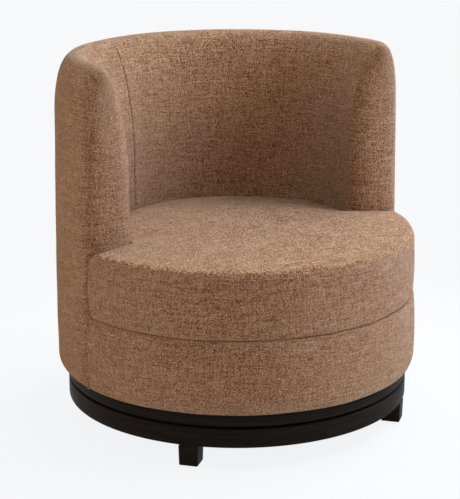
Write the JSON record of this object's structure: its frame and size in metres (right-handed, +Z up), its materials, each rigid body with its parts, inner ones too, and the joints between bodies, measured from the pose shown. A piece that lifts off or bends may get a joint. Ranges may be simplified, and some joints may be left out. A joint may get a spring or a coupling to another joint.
{
  "type": "swivel tub chair",
  "caption": "Low round tub chair with an upholstered barrel back, crowned seat and band, on black rings with a ball-bearing swivel between them and tapered feet.",
  "frame": {"origin": "on the floor under the swivel's axis, which is the middle of the chair's footprint", "axes": "+Z up along the swivel's axis, -Y the way the chair faces, +X to the right seen from the front"},
  "size_m": [0.742, 0.7405, 0.7506],
  "materials": {
    "black_wood": "black satin lacquer",
    "nylon": "moulded",
    "zinc_steel": "zinc plated",
    "bright_steel": "bright",
    "plywood": "raw",
    "hardboard": "raw",
    "webbing": "woven elastic",
    "dust_cloth": "black non-woven",
    "foam": "foam and wadding",
    "upholstery": "brown woven, linen-like with slubs"
  },
  "bodies": {
    "base": {"foot_front_left": "black_wood", "foot_front_right": "black_wood", "foot_back_left": "black_wood", "foot_back_right": "black_wood", "glide_front_left": "nylon", "glide_front_right": "nylon", "glide_back_left": "nylon", "glide_back_right": "nylon", "foot_bolt_front_left": "zinc_steel", "foot_bolt_front_right": "zinc_steel", "foot_bolt_back_left": "zinc_steel", "foot_bolt_back_right": "zinc_steel", "base_ring": "black_wood", "base_bar_x": "black_wood", "base_bar_y": "black_wood", "lower_plate": "zinc_steel", "lower_plate_screw_1": "bright_steel", "lower_plate_screw_2": "bright_steel", "lower_plate_screw_3": "bright_steel", "lower_plate_screw_4": "bright_steel", "centre_bolt": "bright_steel", "centre_washer": "bright_steel", "centre_nut": "bright_steel"},
    "bearing": {"ball_cage": "bright_steel"},
    "seat": {"upper_plate": "zinc_steel", "upper_plate_screw_1": "bright_steel", "upper_plate_screw_2": "bright_steel", "upper_plate_screw_3": "bright_steel", "upper_plate_screw_4": "bright_steel", "plinth_ring": "black_wood", "plinth_bar_x": "black_wood", "plinth_bar_y": "black_wood", "plinth_screw_1": "zinc_steel", "plinth_screw_2": "zinc_steel", "plinth_screw_3": "zinc_steel", "plinth_screw_4": "zinc_steel", "dust_cover": "dust_cloth", "frame_bottom_ring": "plywood", "deck_ring": "plywood", "seat_post_1": "plywood", "seat_post_2": "plywood", "seat_post_3": "plywood", "seat_post_4": "plywood", "upright_1": "plywood", "upright_2": "plywood", "upright_3": "plywood", "upright_4": "plywood", "upright_5": "plywood", "top_rail": "plywood", "inner_liner": "hardboard", "outer_liner": "hardboard", "front_board": "hardboard", "seat_webbing": "webbing", "inside_foam": "foam", "outside_wadding": "foam", "barrel_cover": "upholstery", "seat_foam": "foam", "seat_cushion": "upholstery", "front_band": "upholstery"}
  },
  "joints": [
    {"name": "swivel", "type": "hinge", "parent": "base", "child": "seat", "pos_m": [0, 0, 0.0848], "axis": [0, 0, 1], "continuous": true},
    {"name": "ball_cage_spin", "type": "hinge", "parent": "base", "child": "bearing", "pos_m": [0, 0, 0.0848], "axis": [0, 0, 1], "continuous": true}
  ],
  "couplings": [
    {"joint": "ball_cage_spin", "follows": "swivel", "ratio": 0.5}
  ]
}
